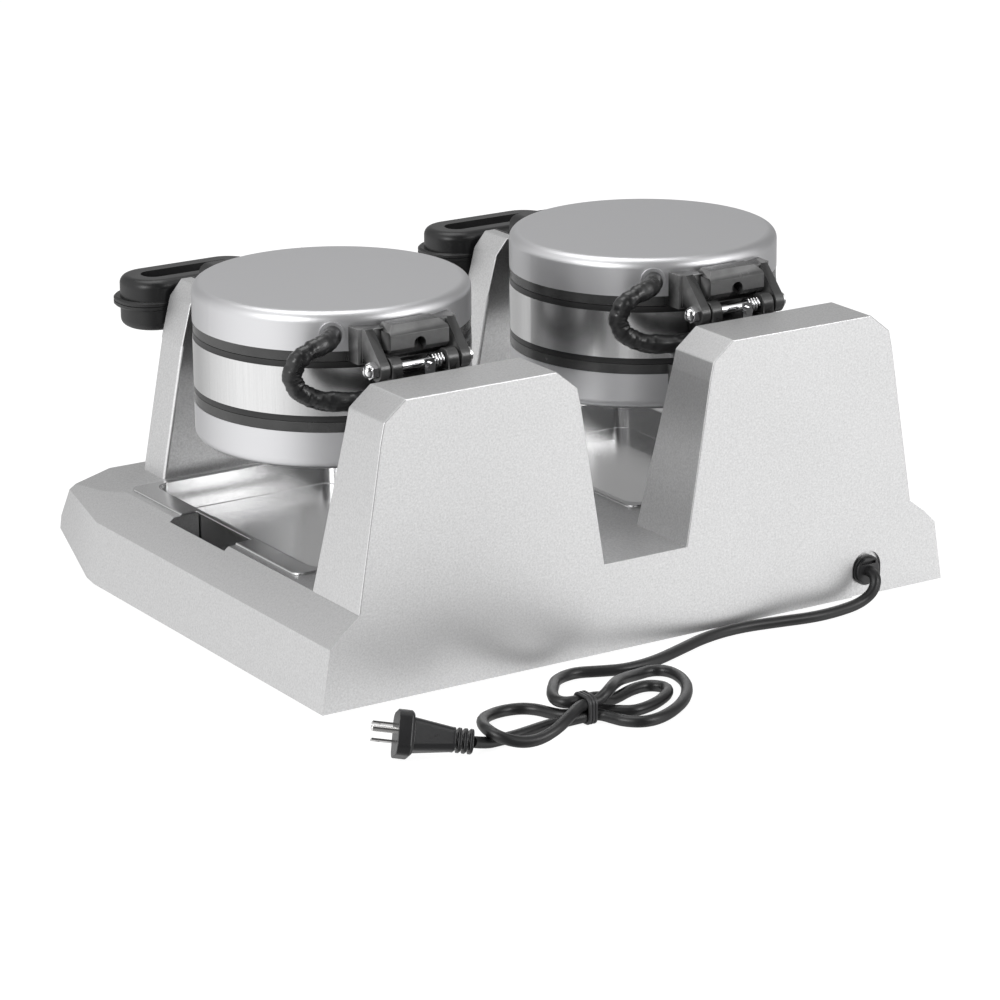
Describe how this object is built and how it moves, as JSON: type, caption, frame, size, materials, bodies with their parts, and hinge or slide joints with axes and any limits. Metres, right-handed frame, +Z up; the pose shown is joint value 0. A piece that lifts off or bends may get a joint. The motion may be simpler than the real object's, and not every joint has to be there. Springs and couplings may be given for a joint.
{
  "type": "double rotating waffle maker",
  "caption": "Countertop waffle maker with two round flip-over heads, each of two hinged lids round a middle section, in a steel base with towers, posts, drip trays and a tied cord.",
  "frame": {"origin": "centre of the object's bounding box, without the cord, on the surface that the feet stand on", "axes": "+Z up, +X to the right seen from the front, where the handles and controls are, +Y to the rear, where the cord leaves"},
  "size_m": [0.5979, 0.6361, 0.2746],
  "materials": {
    "satin_steel": "satin, fine grain",
    "lid_steel": "brushed, rounded edges brighter",
    "black_frame": "satin black",
    "black_handle": "semi-gloss moulded",
    "grid": "dark non-stick coating",
    "heater": "cast",
    "chrome": "polished",
    "shaft_steel": "turned",
    "bearing": "cast",
    "liner": "smooth black",
    "rubber": "matte",
    "cord": "semi-gloss black",
    "sleeve": "wrinkled black sleeve",
    "plug": "semi-gloss moulded",
    "prongs": "nickel plated",
    "panel": "satin dark facia",
    "dial": "semi-gloss moulded",
    "rocker": "gloss moulded",
    "lens": "tinted",
    "thermostat": "plain"
  },
  "bodies": {
    "base": {"base_shell": "satin_steel", "base_bottom_plate": "satin_steel", "rubber_feet": "rubber", "rear_towers": "satin_steel", "front_posts": "satin_steel", "upright_caps": "satin_steel", "cradle_liners": "liner", "rear_bearings": "bearing", "control_panel": "panel", "indicator_lights": "lens", "switch_frames": "panel", "thermostats": "thermostat", "strain_relief": "plug", "cord_lead": "cord", "cord_hank": "cord", "cord_tie": "plug", "plug_body": "plug", "plug_prongs": "prongs"},
    "right_tray": {"right_drip_tray": "satin_steel"},
    "right_dial": {"right_dial": "dial"},
    "right_switch": {"right_power_switch": "rocker"},
    "right_head": {"right_center_band": "lid_steel", "right_center_rims": "black_frame", "right_center_grids": "grid", "right_center_heater": "heater", "right_hinge_hub": "black_frame", "right_hinge_pins": "chrome", "right_hinge_springs": "chrome", "right_rear_shaft": "shaft_steel", "right_front_trunnion": "shaft_steel", "right_lid_cables": "sleeve"},
    "right_upper_lid": {"right_upper_lid_cover": "lid_steel", "right_upper_lid_frame": "black_frame", "right_upper_lid_grid": "grid", "right_upper_lid_handle": "black_handle"},
    "right_lower_lid": {"right_lower_lid_cover": "lid_steel", "right_lower_lid_frame": "black_frame", "right_lower_lid_grid": "grid", "right_lower_lid_handle": "black_handle"},
    "left_tray": {"left_drip_tray": "satin_steel"},
    "left_dial": {"left_dial": "dial"},
    "left_switch": {"left_power_switch": "rocker"},
    "left_head": {"left_center_band": "lid_steel", "left_center_rims": "black_frame", "left_center_grids": "grid", "left_center_heater": "heater", "left_hinge_hub": "black_frame", "left_hinge_pins": "chrome", "left_hinge_springs": "chrome", "left_rear_shaft": "shaft_steel", "left_front_trunnion": "shaft_steel", "left_lid_cables": "sleeve"},
    "left_upper_lid": {"left_upper_lid_cover": "lid_steel", "left_upper_lid_frame": "black_frame", "left_upper_lid_grid": "grid", "left_upper_lid_handle": "black_handle"},
    "left_lower_lid": {"left_lower_lid_cover": "lid_steel", "left_lower_lid_frame": "black_frame", "left_lower_lid_grid": "grid", "left_lower_lid_handle": "black_handle"}
  },
  "joints": [
    {"name": "right_head_turn", "type": "hinge", "parent": "base", "child": "right_head", "pos_m": [0.148, 0.023, 0.212], "axis": [0, 1, 0], "range_deg": [-180, 0]},
    {"name": "right_upper_lid_open", "type": "hinge", "parent": "right_head", "child": "right_upper_lid", "pos_m": [0.148, 0.157, 0.236], "axis": [-1, 0, 0], "range_deg": [0, 95], "deforming": ["right_lid_cables"]},
    {"name": "right_lower_lid_play", "type": "hinge", "parent": "right_head", "child": "right_lower_lid", "pos_m": [0.148, 0.157, 0.188], "axis": [1, 0, 0], "range_deg": [0, 0.5]},
    {"name": "right_tray_lift", "type": "slide", "parent": "base", "child": "right_tray", "axis": [0, 0, 1], "range_m": [0, 0.045]},
    {"name": "right_dial_turn", "type": "hinge", "parent": "base", "child": "right_dial", "pos_m": [0.108, -0.2095, 0.0575], "axis": [0, 0.8721, -0.4892], "range_deg": [0, 270]},
    {"name": "right_switch_rock", "type": "hinge", "parent": "base", "child": "right_switch", "pos_m": [0.193, -0.21168, 0.05872], "axis": [-1, 0, 0], "range_deg": [0, 20]},
    {"name": "left_head_turn", "type": "hinge", "parent": "base", "child": "left_head", "pos_m": [-0.148, 0.023, 0.212], "axis": [0, 1, 0], "range_deg": [-180, 0]},
    {"name": "left_upper_lid_open", "type": "hinge", "parent": "left_head", "child": "left_upper_lid", "pos_m": [-0.148, 0.157, 0.236], "axis": [-1, 0, 0], "range_deg": [0, 95], "deforming": ["left_lid_cables"]},
    {"name": "left_lower_lid_play", "type": "hinge", "parent": "left_head", "child": "left_lower_lid", "pos_m": [-0.148, 0.157, 0.188], "axis": [1, 0, 0], "range_deg": [0, 0.5]},
    {"name": "left_tray_lift", "type": "slide", "parent": "base", "child": "left_tray", "axis": [0, 0, 1], "range_m": [0, 0.045]},
    {"name": "left_dial_turn", "type": "hinge", "parent": "base", "child": "left_dial", "pos_m": [-0.188, -0.2095, 0.0575], "axis": [0, 0.8721, -0.4892], "range_deg": [0, 270]},
    {"name": "left_switch_rock", "type": "hinge", "parent": "base", "child": "left_switch", "pos_m": [-0.103, -0.21168, 0.05872], "axis": [-1, 0, 0], "range_deg": [0, 20]}
  ]
}
